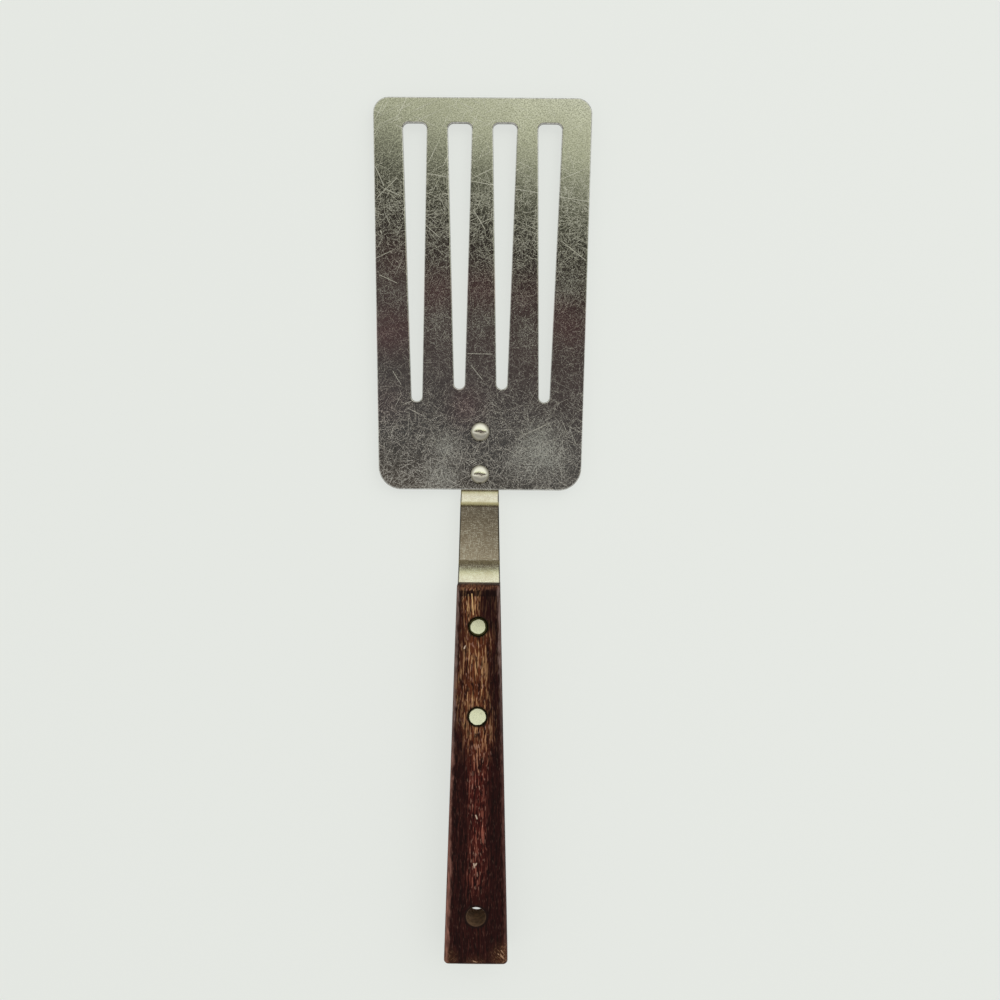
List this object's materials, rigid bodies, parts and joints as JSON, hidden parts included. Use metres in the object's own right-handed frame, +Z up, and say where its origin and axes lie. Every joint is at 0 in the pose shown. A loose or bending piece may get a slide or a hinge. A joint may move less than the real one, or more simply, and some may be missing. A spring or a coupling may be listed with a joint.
{
  "type": "spatula",
  "caption": "Kitchen spatula with a flat slotted steel blade riveted to a stepped steel shank, and a tapered wooden handle with flush rivets and a hanging hole.",
  "frame": {"origin": "under the middle of the length and width, on the plane that the handle's back and the blade rivets' tails lie on", "axes": "+X across the blade, +Y along the tool to the blade's tip, +Z up out of the blade's front face"},
  "size_m": [0.0762, 0.3052, 0.014],
  "materials": {
    "blade_steel": "satin stainless sheet with fine scratches in all directions",
    "shank_steel": "satin stainless strip",
    "handle_wood": "oiled dark wood with straight grain, worn at the edges",
    "blade_rivet_steel": "polished domed heads",
    "handle_rivet_brass": "pale brass ground flush with the wood"
  },
  "bodies": {
    "root": {"blade": "blade_steel", "shank": "shank_steel", "handle": "handle_wood", "blade_rivet_upper": "blade_rivet_steel", "blade_rivet_lower": "blade_rivet_steel", "handle_rivet_upper_front": "handle_rivet_brass", "handle_rivet_upper_back": "handle_rivet_brass", "handle_rivet_lower_front": "handle_rivet_brass", "handle_rivet_lower_back": "handle_rivet_brass"}
  },
  "joints": []
}
